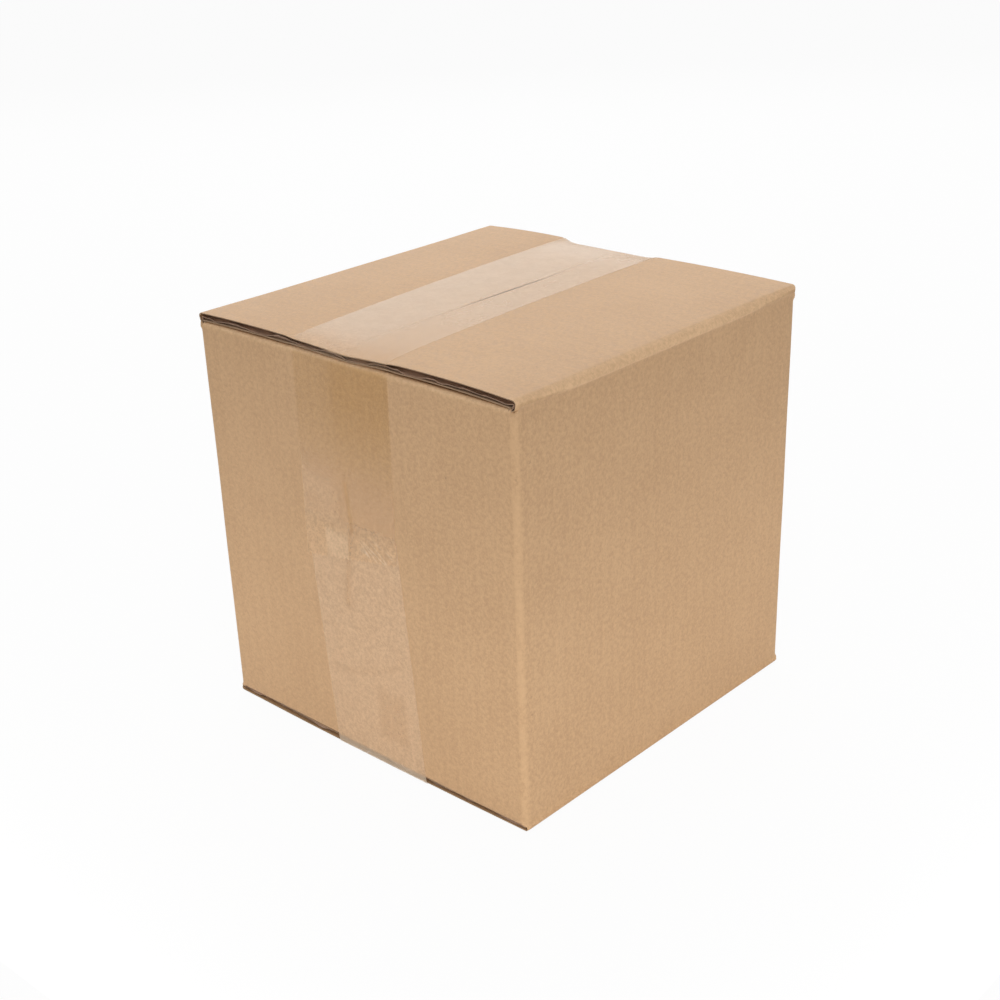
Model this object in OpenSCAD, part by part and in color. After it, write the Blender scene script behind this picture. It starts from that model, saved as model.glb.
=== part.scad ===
// Slotted carton of single-wall corrugated board, folded shut, with a strip of clear tape over each seam.
// The taped face is the front, at -Y. The seam of the outer flaps runs along Y.
// The origin is the middle of the base, and sizes are in millimetres.

/* [Box] */
// Inside width, between the walls that carry the outer flaps
inside_w = 152.4; // [110:0.1:260]
// Inside depth, along the seam
inside_d = 155.6; // [110:0.1:260]
// Inside height, between the inner flaps
inside_h = 151.2; // [130:0.1:260]

/* [Board] */
// Thickness of the board
board_t = 3; // [2.6:0.1:4]
// Thickness of each liner
liner_t = 0.3; // [0.25:0.05:0.4]
// Thickness of the fluted medium
medium_t = 0.25; // [0.15:0.05:0.35]
// Distance from one flute to the next, rounded so that whole flutes fill each panel
flute_pitch = 6.4; // [5.5:0.1:9]
// Width of the flat on top of a flute
flute_flat = 1.2; // [0.8:0.1:1.8]

/* [Folds] */
// Inner radius of a fold
fold_r = 0.6; // [0.4:0.1:1.2]
// How far the score presses each liner in
score_press = 0.1; // [0.05:0.01:0.15]
// How far the folds of the outer flaps bulge past the wall
fold_bulge = 0.8; // [0.4:0.1:1.2]

/* [Flaps] */
// Width of the slot between neighbouring flaps
slot_w = 6; // [4.5:0.5:9]
// How far the outer flaps stop short of the front and back faces
flap_inset = 0.3; // [0.1:0.1:1]
// Bow of each outer flap on top, from fold to seam
flap_bow = 1.2; // [0.6:0.1:2.5]
// How far the seam lies below the folds on top
seam_dip = 0.6; // [0.3:0.1:1.5]
// Open gap between the outer flaps
seam_gap = 0.8; // [0.4:0.1:2]
// Place of the seam, left of the middle of the box
seam_left = 4; // [0:0.5:8]
// Gap between the inner flaps
inner_gap = 2; // [1:0.5:6]
// Air between an inner flap and the outer flap over it
layer_gap = 0.2; // [0.1:0.1:1]

/* [Glued joint] */
// Width of the tab glued inside the back wall
tab_w = 32; // [20:1:50]
// How far the tab stops short of the folds above and below it
tab_short = 4; // [2:0.5:10]
// How far the cut edge of the back wall stops short of the side
joint_inset = 0.8; // [0.4:0.1:2]
// How deep the two glued liners press into each other
glue_press = 0.05; // [0.02:0.01:0.1]

/* [Tape] */
// Width of the tape
tape_w = 48; // [36:1:72]
// Thickness of the film
tape_t = 0.06; // [0.05:0.01:0.1]
// Thickness of the adhesive between film and board
adhesive_t = 0.02; // [0.02:0.005:0.04]
// Middle of the top tape at the front edge
top_tape_x = -2.2; // [-12:0.1:12]
// How far the top tape drifts sideways from the front edge to the back edge
top_tape_drift = -9; // [-12:0.1:12]
// How far the top tape runs down the front and back, at its middle
top_tape_run = 79; // [40:1:85]
// Middle of the bottom tape at the front edge
bottom_tape_x = 5.4; // [-12:0.1:12]
// Lean of the bottom tape from the line of the seam, in degrees
bottom_tape_lean = 4.8; // [-5:0.1:5]
// How far the bottom tape runs up the front and back
bottom_tape_run = 100; // [40:1:110]
// How far the board gives under the bottom tape
tape_press = 0.1; // [0.1:0.01:0.15]
// Length of one tooth of the torn ends
tear_pitch = 2.4; // [1.5:0.1:4]
// Height of one tooth of the torn ends
tear_depth = 0.9; // [0.4:0.1:2]
// How much higher the right side of a torn end of the top tape is
tear_slope = 8.5; // [0:0.5:12]

/* [Hidden] */

board_colour = [0.77, 0.62, 0.46];
tape_colour = [0.87, 0.77, 0.66, 0.55];

// Segments of a full turn, for the small folds and for the wide bow of a flap
fold_fn = 48;
bow_fn = 256;
$fn = fold_fn;

// How far the end of a fold reaches into the liners of the panels that it joins
fold_lap = 0.6;
// How much thinner that end is on each face than the arc of the fold, and how far inside the arc it starts
lap_inset = 0.01;
lap_start = 0.1;
// How far a flap's fold stops short of the cut edges at its sides
fold_short = 0.1;

box_w = inside_w + 2 * board_t;
box_d = inside_d + 2 * board_t;
half_w = box_w / 2;
half_d = box_d / 2;
fold_out = board_t + fold_r;

// Heights, from the base up: outer flap, inner flap, inside, inner flap, outer flap
inner_base = board_t + layer_gap;
inner_top = inner_base + 2 * board_t + inside_h;
seam_top = inner_top + layer_gap + board_t;
fold_top = seam_top + seam_dip;

// The bulge of an outer fold runs back into its wall this far below the fold's centre
bulge_drop = sqrt(2 * fold_out * fold_bulge - fold_bulge * fold_bulge);
side_low = fold_out + bulge_drop - fold_lap / 2;
side_high = fold_top - side_low;
front_low = inner_base + fold_out;
front_high = inner_top - fold_out;

outer_flap_w = box_d - 2 * flap_inset;
inner_flap_w = box_w - 2 * slot_w;
inner_flap_l = half_d - fold_out - inner_gap / 2;

film_out = adhesive_t + tape_t;
film_middle = adhesive_t + tape_t / 2;
// How far the board gives beyond each side of the bottom tape, and how far a cut starts outside the board
press_margin = 0.5;
cut_spare = 1;
// The runs of the top tape meet inside each other's film, and the run over the top is a hair narrower
film_inset = 0.01;
run_trim = 0.02;

// Cross-section of the board: u runs across the flutes, and the thickness runs up from 0.
// Both ends cut a flute halfway up, so that each cut edge shows liner, gap, medium, gap and liner.
module board_section(w) {
  flutes = max(4, round(w / flute_pitch));
  pitch = w / flutes;
  core_low = liner_t;
  core_high = board_t - liner_t;
  rise = core_high - core_low - medium_t;
  narrow = flute_flat / 2;
  run = pitch / 2 - 2 * narrow;
  slope = run / rise;
  wide = pitch / 2 - narrow - medium_t * (sqrt(1 + slope * slope) - slope);
  difference() {
    square([w, board_t]);
    for (i = [0 : flutes]) {
      translate([(i - 0.25) * pitch, 0])
        polygon([
          [-wide, core_high], [-narrow, core_low + medium_t], [narrow, core_low + medium_t], [wide, core_high]
        ]);
      translate([(i + 0.25) * pitch, 0])
        polygon([
          [-wide, core_low], [wide, core_low], [narrow, core_high - medium_t], [-narrow, core_high - medium_t]
        ]);
    }
  }
}

// Flat panel of board, w across the flutes and l along them
module board(w, l) {
  linear_extrude(l) board_section(w);
}

module ring_sector(r_low, r_high, start, end) {
  middle = (start + end) / 2;
  reach = 2 * r_high;
  intersection() {
    difference() {
      circle(r_high);
      circle(r_low);
    }
    polygon([
      [0, 0],
      reach * [cos(start), sin(start)],
      reach * [cos(middle), sin(middle)],
      reach * [cos(end), sin(end)]
    ]);
  }
}

// One liner going round a fold: an arc about the point at, with straight ends that reach into the panels.
// The straight ends are a hair thinner than the arc and start inside it.
module folded_liner(at, r_low, start, end, wall_end, flap_end) {
  straight_t = liner_t - 2 * lap_inset;
  translate(at) {
    ring_sector(r_low, r_low + liner_t, start, end);
    rotate(start) translate([r_low + lap_inset, -wall_end]) square([straight_t, wall_end + lap_start]);
    rotate(end) translate([r_low + lap_inset, -lap_start]) square([straight_t, flap_end + lap_start]);
  }
}

// Profile of a scored fold. The wall hangs down from the corner and the flap goes left, rising by the
// angle lift. The score has crushed the flutes, so only the two liners go round.
module fold_profile(bulge, lift) {
  back = bulge > 0 ? acos(1 - (bulge + liner_t / 2) / fold_out) : 0;
  folded_liner(
    [bulge - fold_out, -fold_out],
    fold_out - score_press - liner_t,
    -back, 90 - lift,
    bulge > 0 ? 0 : fold_lap, fold_lap
  );
  inner_wall_end = bulge > 0 ? bulge_drop + fold_lap : fold_lap;
  folded_liner(
    [-fold_out, -fold_out],
    fold_r + score_press,
    0, 90 - lift,
    inner_wall_end, fold_lap
  );
}

// Fold of a flap that is l wide, centred along Y, with the outer corner of its board at the origin
module flap_fold(l, bulge = 0, lift = 0) {
  rotate([90, 0, 0]) linear_extrude(l - 2 * fold_short, center = true) fold_profile(bulge, lift);
}

// Fold between two walls, standing up from the origin, with its outer corner towards +X and +Y
module wall_fold(l) {
  linear_extrude(l) fold_profile(0, 0);
}

// A bowed outer flap runs from the end of its fold to the seam, and reach is its wall's distance from the seam
function bow_chord_x(reach) = reach - seam_gap / 2 + fold_bulge - fold_out;
function bow_chord(reach) = norm([bow_chord_x(reach), seam_dip]);
function bow_half(reach) = 2 * atan(2 * flap_bow / bow_chord(reach));
function bow_r(reach) = bow_chord(reach) / 2 / sin(bow_half(reach));
function bow_fall(reach) = atan(seam_dip / bow_chord_x(reach));
function bow_lift(reach) = bow_half(reach) - bow_fall(reach);

// Sweeps a profile along the bow of the left flap, whose wall is reach from the seam. The profile is drawn
// with its height above the flap's outer face as x, and the place along the seam as y.
module along_bow(reach) {
  half = bow_half(reach);
  r = bow_r(reach);
  translate([fold_out - fold_bulge - reach, 0, fold_top])
    rotate([0, bow_fall(reach), 0])
      translate([r * sin(half), 0, -r * cos(half)])
        rotate([-90, 0, 0])
          rotate([0, 0, -90 - half])
            rotate_extrude(angle = 2 * half, $fn = bow_fn)
              translate([r, 0])
                children();
}

// Puts what is drawn for the left flap on both flaps, about the seam
module both_bows() {
  translate([-seam_left, 0, 0]) {
    along_bow(half_w - seam_left) children();
    mirror([1, 0, 0]) along_bow(half_w + seam_left) children();
  }
}

module walls() {
  front_l = front_high - front_low;
  side_l = side_high - side_low;
  translate([fold_out - half_w, -half_d, front_low]) board(box_w - 2 * fold_out, front_l);
  translate([joint_inset - half_w, half_d - board_t, front_low])
    board(box_w - fold_out - joint_inset, front_l);
  translate([half_w, fold_out - half_d, side_low]) rotate([0, 0, 90])
    board(box_d - 2 * fold_out, side_l);
  translate([board_t - half_w, fold_out - half_d, side_low]) rotate([0, 0, 90])
    board(box_d - 2 * fold_out - board_t, side_l);
}

// The three plain corners, and the one that turns into the glued tab inside the back wall
module wall_folds() {
  l = front_high - front_low;
  translate([0, 0, front_low]) {
    translate([half_w, half_d, 0]) wall_fold(l);
    translate([half_w, -half_d, 0]) rotate(-90) wall_fold(l);
    translate([-half_w, -half_d, 0]) rotate(180) wall_fold(l);
    translate([-half_w, half_d - board_t + glue_press, 0]) rotate(90) wall_fold(l);
  }
}

module glued_tab() {
  translate([fold_out - half_w, half_d - 2 * board_t + glue_press, front_low + tab_short])
    board(tab_w - fold_out, front_high - front_low - 2 * tab_short);
}

// Inner flaps, hinged on the front and back walls
module inner_flaps() {
  for (turn = [0, 180])
    rotate(turn)
      for (level = [inner_top, inner_base + board_t])
        translate([-inner_flap_w / 2, fold_out - half_d, level])
          rotate([-90, 0, 0])
            board(inner_flap_w, inner_flap_l);
}

module inner_flap_folds() {
  for (turn = [-90, 90])
    rotate(turn) {
      translate([half_d, 0, inner_top]) flap_fold(inner_flap_w);
      translate([half_d, 0, inner_base]) mirror([0, 0, 1]) flap_fold(inner_flap_w);
    }
}

// Outer flaps on top, bowed between the fold and the taped seam
module outer_top_flaps() {
  both_bows()
    translate([0, -outer_flap_w / 2])
      rotate(90)
        board_section(outer_flap_w);
}

// Outer flaps underneath, flat, and pressed in a little where the tape runs
module outer_base_flaps() {
  start = fold_out - fold_bulge - half_w;
  difference() {
    union() {
      translate([start, -outer_flap_w / 2, 0]) rotate([90, 0, 90])
        board(outer_flap_w, -seam_left - seam_gap / 2 - start);
      translate([seam_gap / 2 - seam_left, -outer_flap_w / 2, 0]) rotate([90, 0, 90])
        board(outer_flap_w, seam_left - seam_gap / 2 - start);
    }
    translate([0, 0, -cut_spare])
      linear_extrude(cut_spare + tape_press)
        bottom_strip_outline(tape_w + 2 * press_margin, box_d);
  }
}

module outer_flap_folds() {
  translate([-half_w, 0, fold_top]) mirror([1, 0, 0])
    flap_fold(outer_flap_w, fold_bulge, bow_lift(half_w - seam_left));
  translate([half_w, 0, fold_top]) flap_fold(outer_flap_w, fold_bulge, bow_lift(half_w + seam_left));
  for (side = [0, 1])
    mirror([side, 0, 0])
      translate([half_w, 0, 0]) mirror([0, 0, 1]) flap_fold(outer_flap_w, fold_bulge);
}

module box() {
  color(board_colour) {
    walls();
    wall_folds();
    glued_tab();
    inner_flaps();
    inner_flap_folds();
    outer_top_flaps();
    outer_base_flaps();
    outer_flap_folds();
  }
}

// Outline of a strip that goes up from the origin, leans by the angle lean, and ends in a torn edge.
// The torn edge rises by slope from left to right.
module torn_strip(w, l, lean, slope = 0) {
  teeth = round(w / tear_pitch);
  step = w / teeth / 2;
  polygon(concat(
    [for (i = [0 : 2 * teeth])
      let (x = i * step - w / 2, y = l + slope * (0.5 - i / 2 / teeth) - tear_depth * (i % 2))
        [x - y * tan(lean), y]],
    [[w / 2, 0], [-w / 2, 0]]
  ));
}

// Outline of the bottom tape under the box, seen from above
module bottom_strip_outline(w, l) {
  y = l / 2;
  shift = y * tan(bottom_tape_lean);
  middle = bottom_tape_x + half_d * tan(bottom_tape_lean);
  polygon([
    [middle - shift - w / 2, -y],
    [middle - shift + w / 2, -y],
    [middle + shift + w / 2, y],
    [middle + shift - w / 2, y]
  ]);
}

// Stands a flat outline up against the front wall, off it by the distance off and t thick
module against_front(off, t = tape_t) {
  translate([0, -half_d - off, 0])
    rotate([90, 0, 0])
      linear_extrude(t)
        children();
}

// The run of the top tape over one end of the box and down its wall, x being its middle there.
// Where it passes over the end of the bottom tape it steps out by one film, over as much of its width as gets there.
module top_run_down(x) {
  step_z = bottom_tape_run + tear_depth;
  intersection() {
    both_bows()
      translate([-board_t, film_inset - half_d - film_out])
        square([board_t + film_middle, tape_t - 2 * film_inset]);
    translate([x - tape_w / 2, -box_d, 0]) cube([tape_w, box_d, 2 * fold_top]);
  }
  difference() {
    against_front(adhesive_t) top_run_outline(x);
    translate([-box_w, -box_d, 0]) cube([2 * box_w, 2 * box_d, step_z]);
  }
  intersection() {
    against_front(adhesive_t + film_out) top_run_outline(x);
    translate([-box_w, -box_d, 0]) cube([2 * box_w, 2 * box_d, step_z + tape_t]);
  }
  intersection() {
    against_front(adhesive_t, film_out + tape_t) top_run_outline(x);
    translate([-box_w, -box_d, step_z]) cube([2 * box_w, 2 * box_d, tape_t]);
  }
}

module top_run_outline(x) {
  rise = 1.5 * adhesive_t + tape_t / 2;
  translate([x, seam_top + rise]) mirror([0, 1]) torn_strip(tape_w, top_tape_run + rise, 0, tear_slope);
}

module top_tape() {
  middle = top_tape_x + top_tape_drift / 2;
  end = half_d + film_middle;
  half_run = tape_w / 2 - run_trim;
  color(tape_colour) {
    intersection() {
      union() {
        both_bows() translate([adhesive_t, -end]) square([tape_t, 2 * end]);
        translate([-seam_left - seam_gap, film_inset - end, seam_top + 1.5 * adhesive_t])
          cube([2 * seam_gap, 2 * (end - film_inset), tape_t]);
      }
      linear_extrude(2 * fold_top)
        polygon([
          [middle - top_tape_drift - half_run, -box_d],
          [middle - top_tape_drift + half_run, -box_d],
          [middle + top_tape_drift + half_run, box_d],
          [middle + top_tape_drift - half_run, box_d]
        ]);
    }
    top_run_down(top_tape_x);
    mirror([0, 1, 0]) top_run_down(top_tape_x + top_tape_drift);
  }
}

module bottom_tape() {
  film_z = tape_press - film_out;
  end = half_d + film_out;
  x_back = bottom_tape_x + box_d * tan(bottom_tape_lean);
  color(tape_colour) {
    translate([0, 0, film_z]) linear_extrude(tape_t) bottom_strip_outline(tape_w, 2 * end);
    against_front(adhesive_t)
      translate([bottom_tape_x, film_z]) torn_strip(tape_w, bottom_tape_run, bottom_tape_lean);
    mirror([0, 1, 0])
      against_front(adhesive_t)
        translate([x_back, film_z]) torn_strip(tape_w, bottom_tape_run, -bottom_tape_lean);
  }
}

box();
top_tape();
bottom_tape();
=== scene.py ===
"""A closed cardboard box, taped over its seams, in a plain studio."""

import math

import bmesh
import bpy
from mathutils import Matrix, Vector, noise

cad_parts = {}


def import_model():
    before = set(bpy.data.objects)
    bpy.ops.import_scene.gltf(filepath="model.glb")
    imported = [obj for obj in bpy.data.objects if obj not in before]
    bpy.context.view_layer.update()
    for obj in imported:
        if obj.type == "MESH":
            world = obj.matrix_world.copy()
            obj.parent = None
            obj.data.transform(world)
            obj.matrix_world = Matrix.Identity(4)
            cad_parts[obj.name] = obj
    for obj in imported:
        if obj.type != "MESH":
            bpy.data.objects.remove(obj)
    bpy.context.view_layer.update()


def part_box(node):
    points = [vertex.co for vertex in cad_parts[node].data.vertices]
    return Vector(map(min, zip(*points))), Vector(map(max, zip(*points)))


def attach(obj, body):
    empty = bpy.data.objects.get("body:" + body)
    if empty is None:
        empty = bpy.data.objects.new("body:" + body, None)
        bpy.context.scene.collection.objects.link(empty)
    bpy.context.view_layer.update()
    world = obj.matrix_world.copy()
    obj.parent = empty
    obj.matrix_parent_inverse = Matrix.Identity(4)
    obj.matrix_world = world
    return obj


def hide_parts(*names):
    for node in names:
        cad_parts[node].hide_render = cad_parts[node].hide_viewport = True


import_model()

# Sizes are in millimetres, and every mesh is turned into metres when it is made
METRE = 1000.0

# The board, and the planes of the carton's walls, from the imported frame
CAD_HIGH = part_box("box")[1]
BOARD_T = 3.0
LINER_T = 0.3
MEDIUM_T = 0.25
FLUTE_PITCH = 6.4
BULGE = 0.7
OUT_X = CAD_HIGH.x * METRE
WALL_X = OUT_X - BULGE
WALL_Y = CAD_HIGH.y * METRE
CUT_Y = WALL_Y - 0.6

# Folds. Those of the outer flaps on top are tight at their ends, and open up to SIDE_FOLD_R over ENDS_EASE
CORNER_R = 2.5
FOLD_R = 2.3
SIDE_FOLD_R = 3.2
ENDS_TIGHT = 2.0
ENDS_EASE = 36.0
BASE_FOLD_R = 1.6
LEAST_R = 0.6
BULGE_REACH = 1.3
BULGE_POWER = 1.6
FOLD_Z = CAD_HIGH.z * METRE - 1.25
FOLD_STEPS = 6

# Hooks that the liners make at the ends of the flaps' folds: radius at the front and at the back
HOOK_R = (1.7, 0.7)
LEFT_HOOK = 0.7
HOOK_STEPS = 4

# Inner flaps: height of their fold on top, and underneath at left and right
INNER_TOP = FOLD_Z - 3.15
INNER_TOP_LIFT = 0.05
INNER_BASE = (3.1, 2.1)
INNER_GAP = 1.0
INNER_TAPER = 0.045
INNER_STEPS = 6

# Seam of the outer flaps on top: it bends towards SEAM_FRONT_X and SEAM_BACK_X near the edges
SEAM_FRONT_X = 0.9
SEAM_FRONT_REACH = 14.0
SEAM_MIDDLE_X = -3.3
SEAM_BACK_X = -5.0
SEAM_BACK_FROM = 25.0
SEAM_BACK_EASE = 30.0
SEAM_FRONT_Z = FOLD_Z - 0.5
SEAM_BACK_Z = FOLD_Z - 0.3
SEAM_RISE = 0.6
SLIT_Y = 10.0
SLIT_REACH = 36.0
SLIT_HALF_GAP = 0.42
CLOSED_HALF_GAP = 0.01

# Bow of the outer flaps on top, at the front and at the back
LEFT_BOW = (0.85, 1.2)
RIGHT_BOW = (1.25, 0.6)

# Outer flaps underneath. What differs from left to right changes between -BASE_EASE and BASE_EASE
BASE_Z = 0.1
BASE_SEAM_X = -4.0
BASE_HALF_GAP = 0.4
BASE_EASE = 60.0
LEFT_SAG = 0.9
RIGHT_SAG = 0.5

# Glued joint at the back left corner
JOINT_X = 0.8 - WALL_X
TAB_X = 32.0 - WALL_X

# How thin the board is squashed, as a share of its thickness:
# under the tape at the front and back edges, and underneath at left and right
TAPE_SQUASH = 0.74
BASE_SQUASH = (0.98, 0.7)

# Tapes
TAPE_W = 48.0
TAPE_T = 0.06
FILM_OFF = 0.05
FILM_STEP = 0.08
FILM_R = 0.6
TOP_TAPE_FRONT_X = -2.2
TOP_TAPE_BACK_X = -10.9
TOP_TAPE_HOOK = 1.5
TOP_TAPE_HOOK_REACH = 5.0
TOP_TAPE_LEAN = -1.2
TOP_TAPE_END = 83.8
TOP_TAPE_SLOPE = 8.6
BOTTOM_TAPE_X = 5.4
BOTTOM_TAPE_LEAN = math.radians(4.8)
BOTTOM_TAPE_END = 99.5
TOOTH_PITCH = 2.4
TOOTH_DEPTH = 0.9

# How the top tape pulls the flaps down: by PRESS_FRONT at the front edge, and at the back edge
# to PRESSED_BACK below the folds. It fades out over PRESS_SOFT at the tape's sides, front and back
PRESS_FRONT = 0.35
PRESSED_BACK = 0.8
PRESS_REACH = 8.0
PRESS_SOFT = (4.0, 5.0)
PRESS_INSET = 4.0

# Unevenness of the whole carton, inwards from its planes
WARP = 0.3
WARP_SIZE = 45.0


def clamp(value, low=0.0, high=1.0):
    return max(low, min(high, value))


def smooth(value):
    t = clamp(value)
    return t * t * (3 - 2 * t)


def lerp(a, b, t):
    return a + (b - a) * t


def hump(value, middle, reach):
    return math.exp(-(((value - middle) / reach) ** 2))


def plateau(value, low, high, soft):
    """1 between low and high, falling to 0 over soft outside them."""
    return smooth((value - low) / soft + 1) * smooth((high - value) / soft + 1)


def spread(low, high, count):
    return [lerp(low, high, i / count) for i in range(count + 1)]


def along(y):
    """0 at the front of the box and 1 at its back."""
    return clamp((y + WALL_Y) / (2 * WALL_Y))


def across(x):
    """0 on the left of the base and 1 on its right."""
    return smooth((x + BASE_EASE) / (2 * BASE_EASE))


def from_ends(y):
    """0 at the front and back ends of a fold, rising to 1 along its middle stretch."""
    return smooth((WALL_Y - ENDS_TIGHT - abs(y)) / ENDS_EASE)


# Shape of the flaps and the walls


def seam_x(y):
    near_front = hump(y, -WALL_Y, SEAM_FRONT_REACH)
    near_back = smooth((y - SEAM_BACK_FROM) / SEAM_BACK_EASE)
    return lerp(lerp(SEAM_MIDDLE_X, SEAM_BACK_X, near_back), SEAM_FRONT_X, near_front)


def half_gap(y):
    return CLOSED_HALF_GAP + SLIT_HALF_GAP * hump(y, SLIT_Y, SLIT_REACH) ** 1.5


def seam_z(y):
    t = along(y)
    return lerp(SEAM_FRONT_Z, SEAM_BACK_Z, t) + SEAM_RISE * math.sin(math.pi * t)


def top_tape_middle(y):
    """The tape runs in a shallow curve, and a little askew over the front edge."""
    hook = TOP_TAPE_HOOK * math.exp(-(y + WALL_Y) / TOP_TAPE_HOOK_REACH)
    return lerp(TOP_TAPE_BACK_X, TOP_TAPE_FRONT_X - TOP_TAPE_HOOK, (1 - along(y)) ** 1.5) + hook


def under_tape(x, y):
    """1 where the top tape is wrapped over the front or back edge, falling to 0 away from it."""
    middle = top_tape_middle(y)
    reach = TAPE_W / 2 - PRESS_INSET * along(y)
    covered = plateau(x, middle - reach, middle + reach, lerp(*PRESS_SOFT, along(y)))
    return covered * math.exp(-(WALL_Y - abs(y)) / PRESS_REACH)


def tape_press(x, y, free_z):
    """How far the tape pulls the flaps down from free_z, the height that they would have without it."""
    if y < 0:
        return PRESS_FRONT * under_tape(x, y)
    return max(free_z - FOLD_Z + PRESSED_BACK, 0.0) * under_tape(x, y)


def squash(x, y):
    """Thickness of an outer flap on top, as a share of the board's."""
    return 1 - (1 - TAPE_SQUASH) * under_tape(x, y)


def base_squash(x):
    """Thickness of an outer flap underneath, as a share of the board's."""
    return lerp(*BASE_SQUASH, across(x))


def top_z(x, y):
    """Height of the outer face of the flaps on top."""
    side = 1 if x > seam_x(y) else -1
    edge = OUT_X - SIDE_FOLD_R
    u = clamp((edge - side * x) / (edge - side * seam_x(y)))
    bow = lerp(*(RIGHT_BOW if side > 0 else LEFT_BOW), along(y))
    free_z = lerp(FOLD_Z, seam_z(y), u) + bow * 4 * u * (1 - u)
    return free_z - tape_press(x, y, free_z)


def base_z(x):
    """Height of the outer face of the flaps underneath."""
    side = 1 if x > BASE_SEAM_X else -1
    edge = OUT_X - FOLD_R
    u = clamp((edge - side * x) / (edge - side * BASE_SEAM_X))
    sag = RIGHT_SAG if side > 0 else LEFT_SAG
    return BASE_Z + sag * (1 - u) ** 2


def base_fold_z(side):
    return BASE_Z + (RIGHT_SAG if side > 0 else LEFT_SAG)


def fold_r(depth, top=True):
    return max((FOLD_R if top else BASE_FOLD_R) - depth, LEAST_R)


def side_fold_r(depth, y):
    """Radius of the fold of an outer flap on top."""
    return max(lerp(FOLD_R, SIDE_FOLD_R, from_ends(y)) - depth, LEAST_R)


def corner_r(depth):
    return max(CORNER_R - depth, LEAST_R)


def inner_top(x, end):
    """Height of the outer face of the inner flaps on top, just inside their fold."""
    return INNER_TOP + INNER_TOP_LIFT * under_tape(x, end * CUT_Y)


def inner_base(x):
    return lerp(*INNER_BASE, across(x))


def side_ends(side, depth, y):
    """Heights between which a side wall stands, between the arcs of its folds."""
    low = base_fold_z(side) + depth * base_squash(side * WALL_X) + fold_r(depth, False)
    return low, FOLD_Z - depth - side_fold_r(depth, y)


def end_ends(x, end, depth):
    """Heights between which the front and back walls stand."""
    return inner_base(x) + depth + fold_r(depth, False), inner_top(x, end) - depth - fold_r(depth)


def bulge(side, y, t):
    """Bulge of a side wall at the share t of its height, the same at every depth."""
    low, high = side_ends(side, 0, y)
    near = clamp(min(t, 1 - t) * (high - low) / BULGE_REACH)
    return BULGE * (1 - near) ** BULGE_POWER


def flap_path(side, y, depth, steps, inset=0.0):
    """Points (x, z) of an outer flap on top and its fold, from the seam to the top of the wall."""
    r = side_fold_r(depth, y)
    start = seam_x(y) + side * (half_gap(y) + inset)
    end = side * (OUT_X - depth - r)
    points = [(x, top_z(x, y) - depth * squash(x, y)) for x in spread(start, end, steps)]
    return points + fold_arc(side, y, FOLD_Z - depth - r, r, end, 1)


def base_path(side, y, depth, steps, inset=0.0):
    """Points (x, z) of an outer flap underneath and its fold, from the seam to the foot of the wall."""
    r = fold_r(depth, False)
    start = BASE_SEAM_X + side * (BASE_HALF_GAP + inset)
    end = side * (OUT_X - depth - r)
    points = [(x, base_z(x) + depth * base_squash(x)) for x in spread(start, end, steps)]
    return points + fold_arc(side, y, base_fold_z(side) + depth * base_squash(side * WALL_X) + r, r, end, -1)


def fold_arc(side, y, middle_z, r, middle_x, up):
    """Quarter turn of a flap's fold. Past the ends of the wall it curls in with the corner, as a hook."""
    out = min(max(abs(y) - (WALL_Y - CORNER_R), 0.0), 0.95 * CORNER_R)
    curl = CORNER_R - math.sqrt(CORNER_R**2 - out**2)
    points = []
    for i in range(1, FOLD_STEPS + 1):
        a = math.pi / 2 * i / FOLD_STEPS
        x = middle_x + side * (r * math.sin(a) - curl * (i / FOLD_STEPS) ** 2)
        points.append((x, middle_z + up * r * math.cos(a)))
    x, z = points[-1]
    turn = math.pi / 2 * (out / (CUT_Y - WALL_Y + CORNER_R)) ** 1.5
    hook_r = lerp(*HOOK_R, along(y)) * (1 if side > 0 else LEFT_HOOK)
    for i in range(1, HOOK_STEPS + 1):
        a = min(turn, math.pi / 2) * i / HOOK_STEPS
        points.append((x - side * hook_r * (1 - math.cos(a)), z - up * hook_r * math.sin(a)))
    return points


# Mesh making

WELD_REACH = 0.002
SHARP_ANGLE = math.radians(35)


def warp(p):
    """Moves a point slightly inwards, by the same slow field for every piece."""
    place = Vector(p) / WARP_SIZE
    n = 0.5 + 0.5 * noise.noise(place)
    m = 0.5 + 0.5 * noise.noise(place + Vector((7, 3, 5)))
    x, y, z = p
    x -= WARP * n * clamp(x / WALL_X, -1, 1)
    y -= WARP * m * clamp(y / WALL_Y, -1, 1)
    return x, y, z


def add_grid(bm, rows):
    made = [[bm.verts.new(warp(p)) for p in row] for row in rows]
    for a, b in zip(made, made[1:]):
        for k in range(len(a) - 1):
            bm.faces.new((a[k], a[k + 1], b[k + 1], b[k]))


def weld(bm):
    bmesh.ops.remove_doubles(bm, verts=bm.verts, dist=WELD_REACH)
    bmesh.ops.recalc_face_normals(bm, faces=bm.faces)


def face_outwards(bm):
    """Turns all faces over if the one furthest to the right looks inwards."""
    bm.faces.ensure_lookup_table()
    last = max(bm.faces, key=lambda f: f.calc_center_median().x)
    last.normal_update()
    if last.normal.x < 0:
        bmesh.ops.reverse_faces(bm, faces=bm.faces)


def face_outwards_from_middle(bm):
    """Turns all faces over if most of them look towards the middle of the box."""
    bm.faces.ensure_lookup_table()
    bm.normal_update()
    middle = Vector((0, 0, FOLD_Z / 2))
    if sum((f.calc_center_median() - middle).dot(f.normal) for f in bm.faces) < 0:
        bmesh.ops.reverse_faces(bm, faces=bm.faces)


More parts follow.
